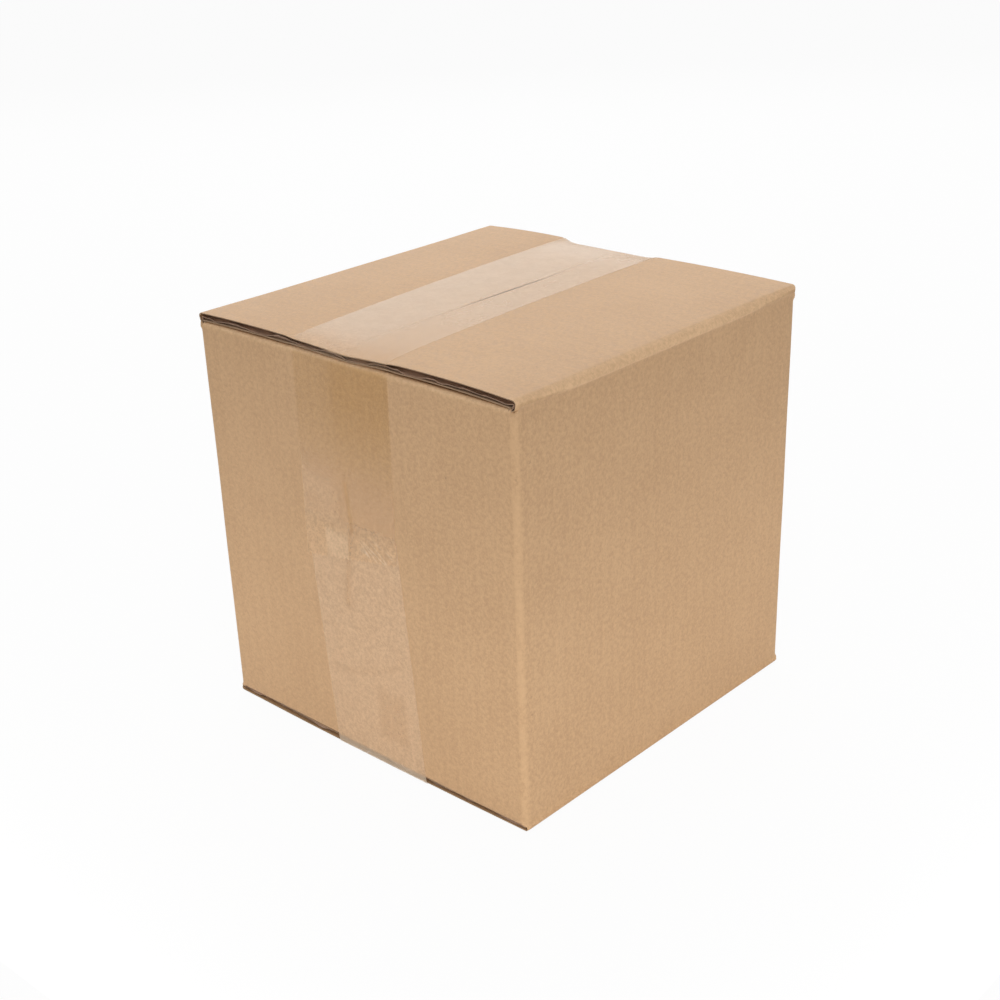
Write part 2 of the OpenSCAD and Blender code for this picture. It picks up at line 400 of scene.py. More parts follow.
def new_piece(name, bm, materials, thickness=0.0, offset=-1.0, paint=None):
    """Object in metres from a mesh in millimetres.

    A thickness is given to it by Solidify, whose rim takes the last material. Each entry of paint is
    the name of a float attribute and its function of x, y and z.
    """
    if paint:
        for key, value in paint.items():
            layer = bm.verts.layers.float.new(key)
            for v in bm.verts:
                v[layer] = value(*v.co)
    bmesh.ops.scale(bm, vec=(1 / METRE,) * 3, verts=bm.verts)
    mesh = bpy.data.meshes.new(name)
    bm.to_mesh(mesh)
    bm.free()
    for material in materials:
        mesh.materials.append(material)
    piece = bpy.data.objects.new(name, mesh)
    bpy.context.scene.collection.objects.link(piece)
    if thickness:
        solid = piece.modifiers.new("thickness", "SOLIDIFY")
        solid.thickness = thickness / METRE
        solid.offset = offset
        solid.material_offset_rim = len(materials) - 1
        graph = bpy.context.evaluated_depsgraph_get()
        piece.data = bpy.data.meshes.new_from_object(piece.evaluated_get(graph))
        piece.data.name = name
        piece.modifiers.clear()
    piece.data.shade_smooth()
    piece.data.set_sharp_from_angle(angle=SHARP_ANGLE)
    return piece


# The carton

FLAP_STEPS = 30
FLAP_END_STEPS = 4
WALL_STEPS = 40
COLUMNS = 60
CORNER_STEPS = 6
CORNER_DROP = 1.8
TAB_STEPS = 4
HEIGHTS = [0.5 - 0.5 * math.cos(math.pi * i / WALL_STEPS) for i in range(WALL_STEPS + 1)]


def side_wall_range(side, depth):
    """How far a side wall runs between its corner folds. The left one is tucked in behind the back wall."""
    r = corner_r(depth)
    back = WALL_Y - depth - r - (BOARD_T if side < 0 else 0)
    return -(WALL_Y - depth - r), back


def add_side(bm, side, depth):
    """Side wall with the outer flaps that hang on it."""
    low_y, high_y = side_wall_range(side, depth)
    wall_ys = spread(low_y, high_y, COLUMNS)
    flap_ys = spread(-CUT_Y, low_y, FLAP_END_STEPS)[:-1] + wall_ys + spread(high_y, CUT_Y, FLAP_END_STEPS)[1:]
    for path in (flap_path, base_path):
        add_grid(bm, [[(x, y, z) for x, z in path(side, y, depth, FLAP_STEPS)] for y in flap_ys])
    rows = []
    for y in wall_ys:
        ends = side_ends(side, depth, y)
        rows.append([(side * (WALL_X - depth + bulge(side, y, t)), y, lerp(*ends, t)) for t in HEIGHTS])
    add_grid(bm, rows)


def end_columns(end, depth):
    """Places across the front (end -1) or back (end 1) wall, of which the back one ends at the glued joint."""
    reach = WALL_X - depth - corner_r(depth)
    return spread(JOINT_X if end > 0 else -reach, reach, COLUMNS)


def inner_flap(x, end, depth, level, up):
    """Fold of the front or back wall and the inner flap that hangs on it, which narrows after its fold."""
    wall_y = WALL_Y - depth
    r = fold_r(depth, up > 0)
    points = []
    for i in range(1, FOLD_STEPS + 1):
        a = math.pi / 2 * i / FOLD_STEPS
        points.append((x, end * (wall_y - r + r * math.cos(a)), level + up * r * math.sin(a)))
    for i in range(1, INNER_STEPS + 1):
        narrow = 1 - INNER_TAPER * min(i, 2) / 2
        points.append((x * narrow, end * lerp(wall_y - r, INNER_GAP, i / INNER_STEPS), level + up * r))
    return points


def add_end(bm, end, depth):
    """Front or back wall with its inner flaps."""
    rows = []
    for x in end_columns(end, depth):
        low_z, high_z = end_ends(x, end, depth)
        wall = [(x, end * (WALL_Y - depth), lerp(low_z, high_z, t)) for t in HEIGHTS]
        below = inner_flap(x, end, depth, low_z, -1)
        rows.append(below[::-1] + wall + inner_flap(x, end, depth, high_z, 1))
    add_grid(bm, rows)


def corner_roll(out, level, up, roll):
    """Points (out, z) where the edge of a corner fold rolls over into the fold of a wall."""
    points = []
    for k in range(1, FOLD_STEPS + 1):
        b = math.pi / 2 * k / FOLD_STEPS
        points.append((out - roll * (1 - math.cos(b)), level + up * roll * math.sin(b)))
    return points


def add_corner(bm, side, end, depth):
    """Fold between a side wall and the front or back wall. At the back left it turns into the glued tab."""
    r = corner_r(depth)
    joint = side < 0 and end > 0
    wall_y = WALL_Y - depth - (BOARD_T if joint else 0)
    side_y = end * (wall_y - r)
    side_z, end_z = side_ends(side, depth, side_y), end_ends(side * (WALL_X - CORNER_R), end, depth)
    rows = []
    for i in range(CORNER_STEPS + 1):
        s = i / CORNER_STEPS
        a = math.pi / 2 * s
        low_z = lerp(side_z[0], end_z[0], s)
        high_z = lerp(side_z[1], end_z[1], smooth(CORNER_DROP * s))
        row = [(r + bulge(side, side_y, t) * math.cos(a), lerp(low_z, high_z, t)) for t in HEIGHTS]
        below = corner_roll(row[0][0], low_z, -1, fold_r(depth, False) * s)
        above = corner_roll(row[-1][0], high_z, 1, fold_r(depth) * s)
        rows.append([
            (side * (WALL_X - depth - r + out * math.cos(a)), end * (wall_y - r + out * math.sin(a)), z)
            for out, z in below[::-1] + row + above
        ])
    if joint:
        last = rows[-1]
        for x in spread(last[0][0], TAB_X, TAB_STEPS)[1:]:
            rows.append([(x, y, z) for _, y, z in last])
    add_grid(bm, rows)


def corner_wear_and_highlight(x, y, z):
    """1 along the four upright folds, where the board is rubbed pale and the crease also gets a painted
    highlight.
    """
    off_x = (abs(x) - (WALL_X - CORNER_R)) / CORNER_R
    off_y = (abs(y) - (WALL_Y - CORNER_R)) / CORNER_R
    return smooth(min(off_x, off_y) * 3 + 0.15)


def rim_highlight(x, y, z):
    """Painted highlight: 1 on the rounded upper fold of the front and back walls, and less on the folds of the
    outer flaps.
    """
    if abs(x) > OUT_X - SIDE_FOLD_R and z > FOLD_Z - SIDE_FOLD_R - 2:
        low = FOLD_Z - lerp(1.2, SIDE_FOLD_R + 0.3, from_ends(y))
        return 0.62 * plateau(z, low, FOLD_Z - 0.6, 0.6)
    if abs(y) < WALL_Y - FOLD_R or z > FOLD_Z - FOLD_R:
        return 0.0
    at_corner = smooth((abs(x) - (WALL_X - CORNER_R)) / CORNER_R + 0.3)
    return smooth((z - end_ends(x, -1, 0)[1] - 0.1) / 2.0) * (1 - 0.7 * at_corner)


def liner(name, depth, materials):
    bm = bmesh.new()
    for side in (-1, 1):
        add_side(bm, side, depth)
        for end in (-1, 1):
            add_corner(bm, side, end, depth)
    for end in (-1, 1):
        add_end(bm, end, depth)
    weld(bm)
    face_outwards(bm)
    # The rim attribute is a painted highlight on the rounded folds
    # The wear attribute is rubbed wear with some painted highlight on the upright folds
    return new_piece(name, bm, materials, LINER_T, -1.0, {"wear_and_highlight": corner_wear_and_highlight, "rim": rim_highlight})


# The fluted medium, in the outer flaps and at the cut edge of the glued joint

WAVE_STEPS = 6
WAVE_RISE = (BOARD_T - 2 * LINER_T - MEDIUM_T) / 2
MEDIUM_FLAP_STEPS = 40
MEDIUM_RECESS = 0.3
# The flutes are crushed to this share of their height where a flap meets its fold
FLUTE_CRUSH = 0.15
JOINT_FLUTES = 3
JOINT_ROWS = 12


def flute(phase):
    """Wave of the medium, flattened where it is glued to the liners."""
    return clamp(1.45 * math.sin(phase), -1, 1)


def wander(x, seed):
    """How far the flutes stray sideways along a flap, which makes the cut edge's medium wave up and down."""
    return 1.5 * noise.noise(Vector((x / 13, seed, 0))) + 0.5 * noise.noise(Vector((x / 4, seed, 3)))


def add_flap_medium(bm, side, path, seed):
    count = int(2 * CUT_Y / FLUTE_PITCH * WAVE_STEPS)
    rows = []
    for y in spread(MEDIUM_RECESS - CUT_Y, CUT_Y - MEDIUM_RECESS, count):
        row = path(side, y, BOARD_T / 2, MEDIUM_FLAP_STEPS, MEDIUM_RECESS)
        for i in range(MEDIUM_FLAP_STEPS + 1):
            x = row[i][0]
            turn = flute(2 * math.pi * (y + CUT_Y + wander(x, seed)) / FLUTE_PITCH)
            depth = BOARD_T / 2 + WAVE_RISE * turn * (1 if i < MEDIUM_FLAP_STEPS else FLUTE_CRUSH)
            if path is flap_path:
                row[i] = (x, top_z(x, y) - depth * squash(x, y))
            else:
                row[i] = (x, base_z(x) + depth * base_squash(x))
        rows.append([(x, y, z) for x, z in row])
    add_grid(bm, rows)


def add_joint_medium(bm):
    low_z, high_z = end_ends(JOINT_X, 1, 0)
    rows = []
    for x in spread(JOINT_X + MEDIUM_RECESS, JOINT_X + JOINT_FLUTES * FLUTE_PITCH, JOINT_FLUTES * WAVE_STEPS):
        y = WALL_Y - BOARD_T / 2 + WAVE_RISE * flute(2 * math.pi * (x - JOINT_X) / FLUTE_PITCH)
        rows.append([(x, y, z) for z in spread(low_z, high_z, JOINT_ROWS)])
    add_grid(bm, rows)


def fluting(materials):
    bm = bmesh.new()
    flaps = ((-1, flap_path), (1, flap_path), (-1, base_path), (1, base_path))
    for seed, (side, path) in enumerate(flaps):
        add_flap_medium(bm, side, path, seed)
    add_joint_medium(bm)
    bmesh.ops.recalc_face_normals(bm, faces=bm.faces)
    return new_piece("fluting", bm, materials, MEDIUM_T, 0.0)


# The tapes

TOOTH_SHAPE = (1.0, 0.0, 0.6)
ACROSS = len(TOOTH_SHAPE) * int(TAPE_W / TOOTH_PITCH)
RUN_STEPS = 64
TOP_STEPS = 80
EDGE_STEPS = 4
BRIDGE_REACH = 3.0


def film_offset(z):
    """The top tape stands one film further out where it lies on the end of the bottom tape."""
    return FILM_OFF + FILM_STEP * smooth((BOTTOM_TAPE_END + 2 - z) / 1.5)


def film_z(x, y):
    """Height of the top tape, which bridges the valley along the seam."""
    near = [top_z(x + d, y) for d in spread(-BRIDGE_REACH, BRIDGE_REACH, 4)]
    return max(sum(near) / len(near), top_z(x, y)) + FILM_OFF


def arc_over(end, y_out, z_top, up):
    """Points (y, z) of the tape going round the front or back edge, from the wall to the level face."""
    points = []
    for i in range(1, EDGE_STEPS):
        a = math.pi / 2 * i / EDGE_STEPS
        y = end * (y_out - FILM_R + FILM_R * math.cos(a))
        points.append((y, z_top - up * FILM_R * (1 - math.sin(a))))
    return points


def tooth(k):
    """How far the torn end of a tape is cut back at its line k, in teeth that are steeper on one side."""
    return TOOTH_DEPTH * TOOTH_SHAPE[k % len(TOOTH_SHAPE)]


def top_film_line(k):
    """One line of the top tape, from its torn end at the front, over the top, to its torn end at the back."""
    u = 2 * k / ACROSS - 1
    points = []
    for end in (-1, 1):
        x = top_tape_middle(end * WALL_Y) + u * TAPE_W / 2
        low = TOP_TAPE_END + TOP_TAPE_SLOPE * u / 2 + tooth(k)
        z_top = film_z(x, end * CUT_Y)
        run = []
        for i in range(RUN_STEPS + 1):
            z = lerp(low, z_top - FILM_R, i / RUN_STEPS)
            lean = TOP_TAPE_LEAN * (1 - i / RUN_STEPS)
            run.append((x + lean, end * (WALL_Y + film_offset(z)), z))
        run += [(x, y, z) for y, z in arc_over(end, WALL_Y + FILM_OFF, z_top, 1)]
        points.append(run)
    level = []
    for y in spread(FILM_R - WALL_Y, WALL_Y - FILM_R, TOP_STEPS):
        x = top_tape_middle(y) + u * TAPE_W / 2
        level.append((x, y, film_z(x, y)))
    return points[0] + level + points[1][::-1]


def bottom_film_line(k):
    """One line of the bottom tape, from its torn end at the front to its torn end at the back."""
    u = 2 * k / ACROSS - 1
    lean = math.tan(BOTTOM_TAPE_LEAN)
    points = []
    for end in (-1, 1):
        x_foot = BOTTOM_TAPE_X + (lean * 2 * WALL_Y if end > 0 else 0) + u * TAPE_W / 2
        high = BOTTOM_TAPE_END - tooth(k)
        run = []
        for i in range(RUN_STEPS + 1):
            z = lerp(high, BASE_Z - FILM_OFF + FILM_R, i / RUN_STEPS)
            run.append((x_foot + end * lean * z, end * (WALL_Y + FILM_OFF), z))
        run += [(x_foot, y, z) for y, z in arc_over(end, WALL_Y + FILM_OFF, BASE_Z - FILM_OFF, -1)]
        points.append(run)
    level = []
    for y in spread(FILM_R - WALL_Y, WALL_Y - FILM_R, TOP_STEPS // 2):
        level.append((BOTTOM_TAPE_X + lean * (y + WALL_Y) + u * TAPE_W / 2, y, BASE_Z - FILM_OFF))
    return points[0] + level + points[1][::-1]


def film(name, line, material, paint):
    bm = bmesh.new()
    add_grid(bm, [line(k) for k in range(ACROSS + 1)])
    face_outwards_from_middle(bm)
    return new_piece(name, bm, [material], TAPE_T, 0.0, paint)


# How the tapes look from place to place. The marks on the front are given in x and z

SOAKED_Z = 108.0
HAZY_Z = 126.0
PATCH_X = (-15.8, -5.0)
PATCH_Z = (80.5, 89.5)
PATCH_SLOPE = 0.25
UPPER_CREASE = ((-1.9, 97.0), (-3.7, 112.0))
LOWER_CREASE = ((-7.0, 66.0), (-1.9, 96.0))
CREASE_FOOT = ((-7.0, 66.0), (-5.0, 82.0))
WRINKLED_X = (6.0, 15.0)
WRINKLED_Z = (83.0, 90.0)
BLOT_X = (8.0, 19.0)
BLOT_Z = (15.0, 31.0)
ARC_X = -14.0
ARC_Z = 35.5
ARC_BEND = 0.011
GLINT = ((24.2, 1.5), (20.6, 30.0))


def is_level(y, z):
    return z > FOLD_Z - 3 and abs(y) < WALL_Y - 0.2


def streak(x, z, line, width):
    """1 on a line from its foot up to its head, falling to 0 over the width."""
    foot, head = line
    t = clamp((z - foot[1]) / (head[1] - foot[1]))
    off = x - lerp(foot[0], head[0], t)
    return math.exp(-((off / width) ** 2)) * plateau(z, foot[1], head[1], 6)


def over_cut_edge(z):
    """1 where the top tape bridges the cut edge of the flaps and the fold below it."""
    return plateau(z, INNER_TOP - 0.3, FOLD_Z - 1.0, 0.5)


def over_bottom_film(z):
    """1 on the stretch of the top tape's ends that lies on the bottom tape."""
    return smooth((BOTTOM_TAPE_END + 3 - z) / 10)


def right_of_seam(x, y):
    """1 on the right half of the top tape and 0 on its left. They part sharply only along the slit."""
    soft = lerp(2.0, 10.0, smooth((abs(y - SLIT_Y) - 28) / 24))
    return smooth((x - seam_x(y)) / soft + 0.5)


def behind_front(y):
    """0 at the front end of the level tape and 1 from the middle of the box on."""
    return smooth((y + 70) / 60)


def right_on_front(x):
    """0 on the left part of the tape's front end and 1 on its middle and right."""
    return smooth((x + 14) / 12)


def top_sheen(x, y, z):
    """How much the top tape mirrors: most on its left half and towards the back, least at the front right."""
    if not is_level(y, z):
        return 0.25
    level = lerp(0.4, lerp(0.25, 0.3, behind_front(y)), right_of_seam(x, y))
    level = level * lerp(0.6, 1.0, smooth((y + 78) / 14)) + 0.12 * smooth((y - 45) / 35)
    return level * lerp(1.0, 0.8, smooth((y - 68) / 9))


def top_haze_and_reflection(x, y, z):
    # On the level top the haze is partly a painted reflection, strongest on the left half
    if is_level(y, z):
        level = lerp(0.38, lerp(0.28, 0.36, behind_front(y)), right_of_seam(x, y))
        over_slit = hump(x, seam_x(y), 1.1) * hump(y, SLIT_Y, SLIT_REACH)
        return level * (1 - 0.95 * over_slit)
    if y > 0:
        return (0.05 + 0.3 * smooth((HAZY_Z - z) / 16)) * (1 - over_cut_edge(z))
    low = smooth((HAZY_Z - 0.1 * x - z) / 18)
    patch = plateau(x, *PATCH_X, 0.9) * plateau(z + PATCH_SLOPE * x, *PATCH_Z, 0.9)
    dark = streak(x, z, UPPER_CREASE, 1.3) + 0.5 * streak(x, z, LOWER_CREASE, 1.6)
    level = lerp(lerp(0.4, 0.3, right_on_front(x)) * low, 0.5, over_bottom_film(z))
    return lerp(max(level + 0.12 * patch - 0.3 * dark, 0.0), 0.05, over_cut_edge(z))


def top_pale_and_reflection(x, y, z):
    """How white the haze is: on top more so than on the front, and most on the left half. On top this
    whiteness is a painted reflection.
    """
    if not is_level(y, z):
        above = lerp(0.4, 0.22, right_on_front(x))
        patch = plateau(x, *PATCH_X, 0.9) * plateau(z, 82, 93, 2)
        return lerp(above, 0.15, over_bottom_film(z)) + 0.2 * patch
    level = lerp(1.0, lerp(0.73, 0.88, behind_front(y)), right_of_seam(x, y))
    return lerp(0.4, level, smooth((y + 84) / 34))


def top_wet(x, y, z):
    """1 where the adhesive has soaked into the board, which darkens it."""
    if is_level(y, z):
        return 0.0
    soaked = smooth((z - SOAKED_Z) / 45) * lerp(0.45, 1.0, right_on_front(x))
    dark = 0.5 * streak(x, z, UPPER_CREASE, 1.0) if y < 0 else 0.0
    return (soaked + dark) * (1 - over_cut_edge(z))


def top_wrinkle(x, y, z):
    if is_level(y, z):
        return 0.5 * plateau(x, seam_x(y) + 2, 12, 3) * plateau(y, 5, 55, 12)
    if y > 0:
        return 0.3 * plateau(z, 84, 94, 4)
    return 0.8 * plateau(x, *WRINKLED_X, 7) * plateau(z, *WRINKLED_Z, 9)


def at_foot(y, z):
    """1 where the bottom tape bridges the cut edge of the flaps underneath."""
    return plateau(z, -1, 2.6, 0.6) if abs(y) > WALL_Y - 1 else 0.0


def in_the_open(y, z):
    """0 at the front end of the bottom tape, which the top tape covers."""
    return smooth((BOTTOM_TAPE_END + 1 - z) / 14) if y < 0 else 1.0


def bottom_wet(x, y, z):
    """A darker blot and a faint bent line low on the front, where the film lies closer."""
    if y > 0:
        return 0.0
    blot = 0.35 * plateau(x, *BLOT_X, 4) * plateau(z, *BLOT_Z, 6)
    bent = 0.35 * hump(z, ARC_Z + ARC_BEND * (x - ARC_X) ** 2, 0.8) * plateau(x, -17, 22, 3)
    return blot + bent + 0.5 * streak(x, z, CREASE_FOOT, 1.6)


def bottom_haze(x, y, z):
    glint = 0.06 * streak(x, z, GLINT, 0.5) - 0.3 * bottom_wet(x, y, z) if y < 0 else 0.0
    return lerp((0.48 + glint) * lerp(0.6, 1.0, in_the_open(y, z)), 0.4, at_foot(y, z))


def bottom_pale(x, y, z):
    """Over the cut edge at the foot there is no board close behind the film, so it looks greyer."""
    return lerp(0.36, 1.0, at_foot(y, z))


def bottom_sheen(x, y, z):
    return lerp(0.1, 0.5, in_the_open(y, z))


def bottom_wrinkle(x, y, z):
    return 0.1


# Materials


class Nodes:
    """Short calls for building a material's node tree."""

    def __init__(self, name):
        self.material = bpy.data.materials.new(name)
        self.material.use_nodes = True
        self.tree = self.material.node_tree
        self.tree.nodes.clear()
        self.output = self.tree.nodes.new("ShaderNodeOutputMaterial")

    def add(self, kind, **values):
        node = self.tree.nodes.new(kind)
        for key, value in values.items():
            setattr(node, key, value)
        return node

    def set(self, socket, value):
        if isinstance(value, bpy.types.NodeSocket):
            self.tree.links.new(value, socket)
        else:
            socket.default_value = value

    def math(self, operation, *values, clamped=False):
        node = self.add("ShaderNodeMath", operation=operation, use_clamp=clamped)
        for socket, value in zip(node.inputs, values):
            self.set(socket, value)
        return node.outputs[0]

    def noise(self, vector, scale, detail=2.0, roughness=0.5):
        node = self.add("ShaderNodeTexNoise")
        self.set(node.inputs["Vector"], vector)
        self.set(node.inputs["Scale"], scale)
        self.set(node.inputs["Detail"], detail)
        self.set(node.inputs["Roughness"], roughness)
        return node.outputs["Fac"]

    def mapped(self, vector, **values):
        """The vector after a mapping's Scale or Rotation."""
        node = self.add("ShaderNodeMapping")
        self.set(node.inputs["Vector"], vector)
        for key, value in values.items():
            self.set(node.inputs[key], value)
        return node.outputs[0]

    def ramp(self, value, low, high, low_out=0.0, high_out=1.0):
        node = self.add("ShaderNodeMapRange", interpolation_type="SMOOTHSTEP")
        self.set(node.inputs["Value"], value)
        self.set(node.inputs["From Min"], low)
        self.set(node.inputs["From Max"], high)
        self.set(node.inputs["To Min"], low_out)
        self.set(node.inputs["To Max"], high_out)
        return node.outputs[0]

    def mix(self, factor, a, b, blend="MIX"):
        node = self.add("ShaderNodeMix", data_type="RGBA", blend_type=blend)
        self.set(node.inputs["Factor"], factor)
        self.set(node.inputs["A"], a if isinstance(a, bpy.types.NodeSocket) else (*a, 1.0))
        self.set(node.inputs["B"], b if isinstance(b, bpy.types.NodeSocket) else (*b, 1.0))
        return node.outputs["Result"]

    def blend(self, factor, first, second):
        """Shader that goes from the first to the second with the factor."""
        node = self.add("ShaderNodeMixShader")
        for socket, value in zip(node.inputs, (factor, first.outputs[0], second.outputs[0])):
            self.set(socket, value)
        return node

    def attribute(self, name):
        return self.add("ShaderNodeAttribute", attribute_name=name).outputs["Fac"]

    def place(self):
        return self.add("ShaderNodeTexCoord").outputs["Object"]

    def bump(self, height, strength, distance):
        node = self.add("ShaderNodeBump")
        self.set(node.inputs["Height"], height)
        self.set(node.inputs["Strength"], strength)
        self.set(node.inputs["Distance"], distance)
        return node.outputs[0]

    def finish(self, shader):
        self.set(self.output.inputs["Surface"], shader.outputs[0])
        return self.material


KRAFT = (0.543, 0.336, 0.176)
KRAFT_PALE = (0.622, 0.397, 0.215)
KRAFT_DARK = (0.464, 0.277, 0.14)
# Painted highlight on the rounded folds, multiplied into the liner's colour
RIM_HIGHLIGHT = (1.5, 1.62, 1.8)
SPECK = (0.27, 0.16, 0.085)
CUT_EDGE = (0.4, 0.265, 0.165)
MEDIUM = (0.41, 0.265, 0.185)

# Scales of the paper's two grains, which also show in the haze of the film
MOTTLE_SCALE = 620.0
FIBRE_SCALE = 1700.0


def kraft_material():
    """Unbleached liner: cloudy and fibrous, with faint lines over the flutes, specks, upright folds rubbed
    pale with some painted highlight, and painted highlights on the rounded folds.
    """
    n = Nodes("kraft_liner")
    place = n.place()
    clouds = n.noise(place, 40.0, 2.0)
    mottle = n.noise(place, MOTTLE_SCALE, 3.0, 0.6)
    fibres = n.noise(n.mapped(place, Scale=(1.0, 1.0, 0.75)), FIBRE_SCALE, 2.0, 0.6)
    specks = n.ramp(n.noise(place, 520.0, 1.0), 0.74, 0.80)
    flutes = flute_lines(n, place)
    tone = n.math("ADD", n.math("MULTIPLY", clouds, 0.25), n.math("MULTIPLY", mottle, 1.0))
    tone = n.math("ADD", tone, n.math("MULTIPLY", fibres, 0.7))
    tone = n.math("ADD", tone, n.math("MULTIPLY", flutes, 0.04))
    colour = n.mix(n.ramp(tone, 0.68, 1.30), KRAFT_DARK, KRAFT_PALE)
    colour = n.mix(0.2, colour, KRAFT)
    colour = n.mix(n.math("MULTIPLY", specks, 0.35), colour, SPECK)
    # Upright folds made paler: rubbed wear, and partly a painted highlight of the crease
    rubbed = n.noise(n.mapped(place, Scale=(1, 1, 0.3)), 300.0, 3.0)
    worn_and_highlit = n.math("MULTIPLY", n.attribute("wear_and_highlight"), n.ramp(rubbed, 0.3, 0.6, 0.05, 0.5))
    colour = n.mix(worn_and_highlit, colour, KRAFT_PALE)
    # Painted highlight on the rounded folds
    colour = n.mix(n.math("MULTIPLY", n.attribute("rim"), 0.85), colour, RIM_HIGHLIGHT, "MULTIPLY")
    shader = n.add("ShaderNodeBsdfPrincipled")
    n.set(shader.inputs["Base Color"], colour)
    n.set(shader.inputs["Roughness"], n.ramp(mottle, 0.3, 0.7, 0.56, 0.7))
    height = n.math("ADD", n.math("MULTIPLY", fibres, 0.4), n.math("MULTIPLY", mottle, 0.6))
    height = n.math("ADD", height, n.math("MULTIPLY", flutes, 0.5))
    n.set(shader.inputs["Normal"], n.bump(height, 0.35, 0.00012))
    return n.finish(shader)


def flute_lines(n, place):
    """Lines over the flutes: upright on the walls, and from fold to seam on the flaps."""
    split = n.add("ShaderNodeSeparateXYZ")
    n.set(split.inputs[0], place)
    facing = n.add("ShaderNodeSeparateXYZ")
    n.set(facing.inputs[0], n.add("ShaderNodeTexCoord").outputs["Normal"])
    level = n.ramp(n.math("ABSOLUTE", facing.outputs["Z"]), 0.6, 0.8, 1.0, 0.0)
    place_across = n.math("ADD", split.outputs["Y"], n.math("MULTIPLY", split.outputs["X"], level))
    stray = n.math("MULTIPLY", n.noise(place, 20.0, 1.0), 0.004)
    turns = n.math("MULTIPLY", n.math("ADD", place_across, stray), 2 * math.pi * METRE / FLUTE_PITCH)
    return n.math("MULTIPLY_ADD", n.math("SINE", turns), 0.5, 0.5)


def cut_material(name, colour, shade):
    """Cut and inner faces of the board, rougher and greyer than the liner, and darker by shade in places."""
    n = Nodes(name)
    place = n.place()
    grain = n.noise(n.mapped(place, Scale=(0.4, 1.0, 1.0)), 900.0, 4.0, 0.65)
    patches = n.noise(place, 90.0, 2.0)
    tone = n.math("ADD", n.math("MULTIPLY", grain, 0.7), n.math("MULTIPLY", patches, 0.5))
    shader = n.add("ShaderNodeBsdfPrincipled")
    deep = tuple(shade * c for c in colour)
    n.set(shader.inputs["Base Color"], n.mix(n.ramp(tone, 0.35, 0.85), deep, colour))
    n.set(shader.inputs["Roughness"], n.ramp(grain, 0.3, 0.7, 0.8, 0.92))
    n.set(shader.inputs["Normal"], n.bump(grain, 0.5, 0.0002))
    return n.finish(shader)


FILM_CLEAR = (0.99, 0.985, 0.975)
FILM_WET = (0.945, 0.91, 0.82)
HAZE_WARM = (0.86, 0.56, 0.31)
# Pale haze colour, which on top of the box serves as a painted reflection
HAZE_PALE_AND_REFLECTION = (0.90, 0.715, 0.52)
CREASE_SLANT = math.radians(-37)
FILM_ROUGHNESS = 0.22
FILM_IOR = 1.48


def film_material(name):
    """Clear packing tape: see-through film that mirrors at a slant, hazy where air is trapped under it. On top
    of the box its haze is also a painted reflection, and along its creases it shows painted glints.
    """
    n = Nodes(name)
    place = n.place()
    wrinkle = n.attribute("wrinkle")
    air = n.noise(place, 160.0, 4.0, 0.6)

    slanted = n.mapped(place, Rotation=(0.0, CREASE_SLANT, 0.0))
    lines = n.noise(n.mapped(slanted, Scale=(0.12, 1.0, 1.0)), 480.0, 1.0)
    creases = n.ramp(n.math("ABSOLUTE", n.math("SUBTRACT", lines, 0.5)), 0.0, 0.12, 1.0, 0.0)
    # Painted glints along the creases, which whiten the haze
    crease_glints = n.math("MULTIPLY", creases, wrinkle)

    clear = n.add("ShaderNodeBsdfTransparent")
    wet = n.math("MULTIPLY", n.attribute("wet"), n.ramp(air, 0.3, 0.7, 0.85, 1.1), clamped=True)
    n.set(clear.inputs[0], n.mix(wet, FILM_CLEAR, FILM_WET))

    # Milky haze of the film, which on top of the box is partly a painted reflection
    milk_and_reflection = n.add("ShaderNodeBsdfDiffuse")
    pale_and_reflection = n.attribute("pale_and_reflection")
    hue = n.mix(n.math("MAXIMUM", pale_and_reflection, crease_glints), HAZE_WARM, HAZE_PALE_AND_REFLECTION)
    mottle = n.math("MULTIPLY", n.noise(place, MOTTLE_SCALE, 3.0, 0.6), 0.6)
    grain = n.math("ADD", mottle, n.math("MULTIPLY", n.noise(place, FIBRE_SCALE), 0.4))
    grain_share = n.math("MULTIPLY_ADD", pale_and_reflection, -0.8, 1.0)
    n.set(milk_and_reflection.inputs[0], n.mix(grain_share, hue, n.ramp(grain, 0.35, 0.65, 0.8, 1.19), "MULTIPLY"))
    haze_and_reflection = n.math("MULTIPLY", n.attribute("haze_and_reflection"), n.ramp(air, 0.3, 0.7, 0.94, 1.06))
    # The painted crease glints also thicken the haze
    haze_and_reflection = n.math("ADD", haze_and_reflection, n.math("MULTIPLY", crease_glints, 0.06), clamped=True)
    body = n.blend(haze_and_reflection, clear, milk_and_reflection)

    waves = n.noise(place, 45.0, 2.0)
    height = n.math("ADD", waves, n.math("MULTIPLY", n.math("MULTIPLY", lines, wrinkle), 0.5))
    normal = n.bump(height, 0.25, 0.0008)
    gloss = n.add("ShaderNodeBsdfGlossy")
    n.set(gloss.inputs["Roughness"], FILM_ROUGHNESS)
    n.set(gloss.inputs["Normal"], normal)
    slant = n.add("ShaderNodeFresnel")
    n.set(slant.inputs["IOR"], FILM_IOR)
    n.set(slant.inputs["Normal"], normal)
    mirrored = n.math("MULTIPLY", slant.outputs[0], n.attribute("sheen"), clamped=True)
    outer = n.blend(mirrored, body, gloss)

    # Only the face that is looked at mirrors and tints, so that the film's own inner side adds nothing
    inner = n.add("ShaderNodeBsdfTransparent")
    seen_inside = n.add("ShaderNodeNewGeometry").outputs["Backfacing"]
    return n.finish(n.blend(seen_inside, outer, inner))


# Studio

FLOOR_REACH = 6 * METRE
FLOOR_WHITE = 0.8
FLOOR_GLOW = 0.95
WORLD_LIGHT = 0.28


